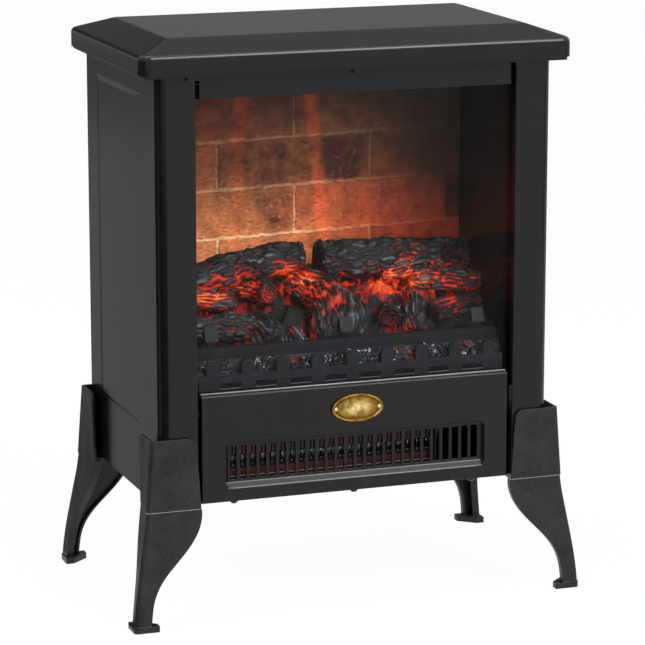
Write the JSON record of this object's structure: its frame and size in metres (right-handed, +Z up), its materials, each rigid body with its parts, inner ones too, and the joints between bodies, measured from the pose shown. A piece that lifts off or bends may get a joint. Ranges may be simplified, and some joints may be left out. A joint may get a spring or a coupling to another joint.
{
  "type": "electric stove heater",
  "caption": "Black free-standing electric stove heater with a lit log-effect fire behind glass, a slotted fan-heater outlet below and curved legs.",
  "frame": {"origin": "on the floor, at the middle of the box round the four feet", "axes": "+Z up, -Y the front with the window, +X to the viewer's right"},
  "size_m": [0.443, 0.26, 0.54],
  "materials": {
    "satin_black_steel": "satin powder coat",
    "black_moulding": "fine-grained moulding",
    "black_screws": "black oxide",
    "badge_brass": "antiqued, stippled",
    "clear_glass": "clear toughened",
    "gloss_liner": "gloss black",
    "brick_panel": "moulded and printed",
    "fret_moulding": "matt",
    "charred_log": "painted resin moulding, lit from below",
    "light_strip": "white board",
    "plated_steel": "zinc plated",
    "mica": "pressed mica board",
    "heating_wire": "bright drawn",
    "motor_steel": "plated can",
    "bush_brass": "sintered",
    "fan_aluminium": "bright",
    "flame_foil": "bright foil",
    "control_plastic": "fine texture",
    "rocker_plastic": "gloss",
    "knob_plastic": "satin",
    "nylon": "moulded"
  },
  "bodies": {
    "stove": {"top_lid": "satin_black_steel", "lid_frame": "satin_black_steel", "left_side_panel": "satin_black_steel", "right_side_panel": "satin_black_steel", "back_panel": "satin_black_steel", "base_plate": "satin_black_steel", "header_rail": "satin_black_steel", "lower_fascia": "black_moulding", "front_left_leg": "black_moulding", "front_right_leg": "black_moulding", "rear_left_leg": "black_moulding", "rear_right_leg": "black_moulding", "lid_screws": "black_screws", "back_screws": "black_screws", "base_screws": "black_screws", "fascia_screws": "black_screws", "bezel_screws": "black_screws", "leg_screws": "black_screws", "badge_plate": "badge_brass", "badge_pins": "badge_brass", "window_glass": "clear_glass", "left_liner": "gloss_liner", "right_liner": "gloss_liner", "firebox_roof": "gloss_liner", "firebox_floor": "gloss_liner", "brick_backdrop": "brick_panel", "fire_fret": "fret_moulding", "log_bed": "charred_log", "ember_light_strip": "light_strip", "flame_light_strip": "light_strip", "heater_duct": "plated_steel", "fan_housing": "plated_steel", "flame_shelf": "plated_steel", "spindle_bush_bracket": "plated_steel", "spindle_motor_bracket": "plated_steel", "light_shield": "plated_steel", "mica_boards": "mica", "heating_ribbon": "heating_wire", "fan_motor": "motor_steel", "spindle_motor": "motor_steel", "thermal_cutout": "motor_steel", "thermostat_body": "motor_steel", "fan_bush": "bush_brass", "control_bezel": "control_plastic", "switch_bodies": "control_plastic", "cord_gland": "nylon", "gland_nut": "nylon", "terminal_block": "nylon"},
    "thermostat_knob": {"thermostat_knob": "knob_plastic"},
    "flame_rocker": {"flame_rocker": "rocker_plastic"},
    "low_heat_rocker": {"low_heat_rocker": "rocker_plastic"},
    "high_heat_rocker": {"high_heat_rocker": "rocker_plastic"},
    "fan_wheel": {"fan_wheel": "fan_aluminium"},
    "flame_spindle": {"flame_spindle": "flame_foil"}
  },
  "joints": [
    {"name": "thermostat_turn", "type": "hinge", "parent": "stove", "child": "thermostat_knob", "pos_m": [0.131, 0.1195, 0.43], "axis": [0, -1, 0], "range_deg": [0, 270]},
    {"name": "flame_switch", "type": "hinge", "parent": "stove", "child": "flame_rocker", "pos_m": [0.051, 0.1105, 0.43], "axis": [1, 0, 0], "range_deg": [0, 16]},
    {"name": "low_heat_switch", "type": "hinge", "parent": "stove", "child": "low_heat_rocker", "pos_m": [0.073, 0.1105, 0.43], "axis": [1, 0, 0], "range_deg": [0, 16]},
    {"name": "high_heat_switch", "type": "hinge", "parent": "stove", "child": "high_heat_rocker", "pos_m": [0.095, 0.1105, 0.43], "axis": [1, 0, 0], "range_deg": [0, 16]},
    {"name": "fan_spin", "type": "hinge", "parent": "stove", "child": "fan_wheel", "pos_m": [0, -0.032, 0.14675], "axis": [1, 0, 0], "continuous": true},
    {"name": "flame_spin", "type": "hinge", "parent": "stove", "child": "flame_spindle", "pos_m": [0, 0.076, 0.2645], "axis": [1, 0, 0], "continuous": true}
  ]
}
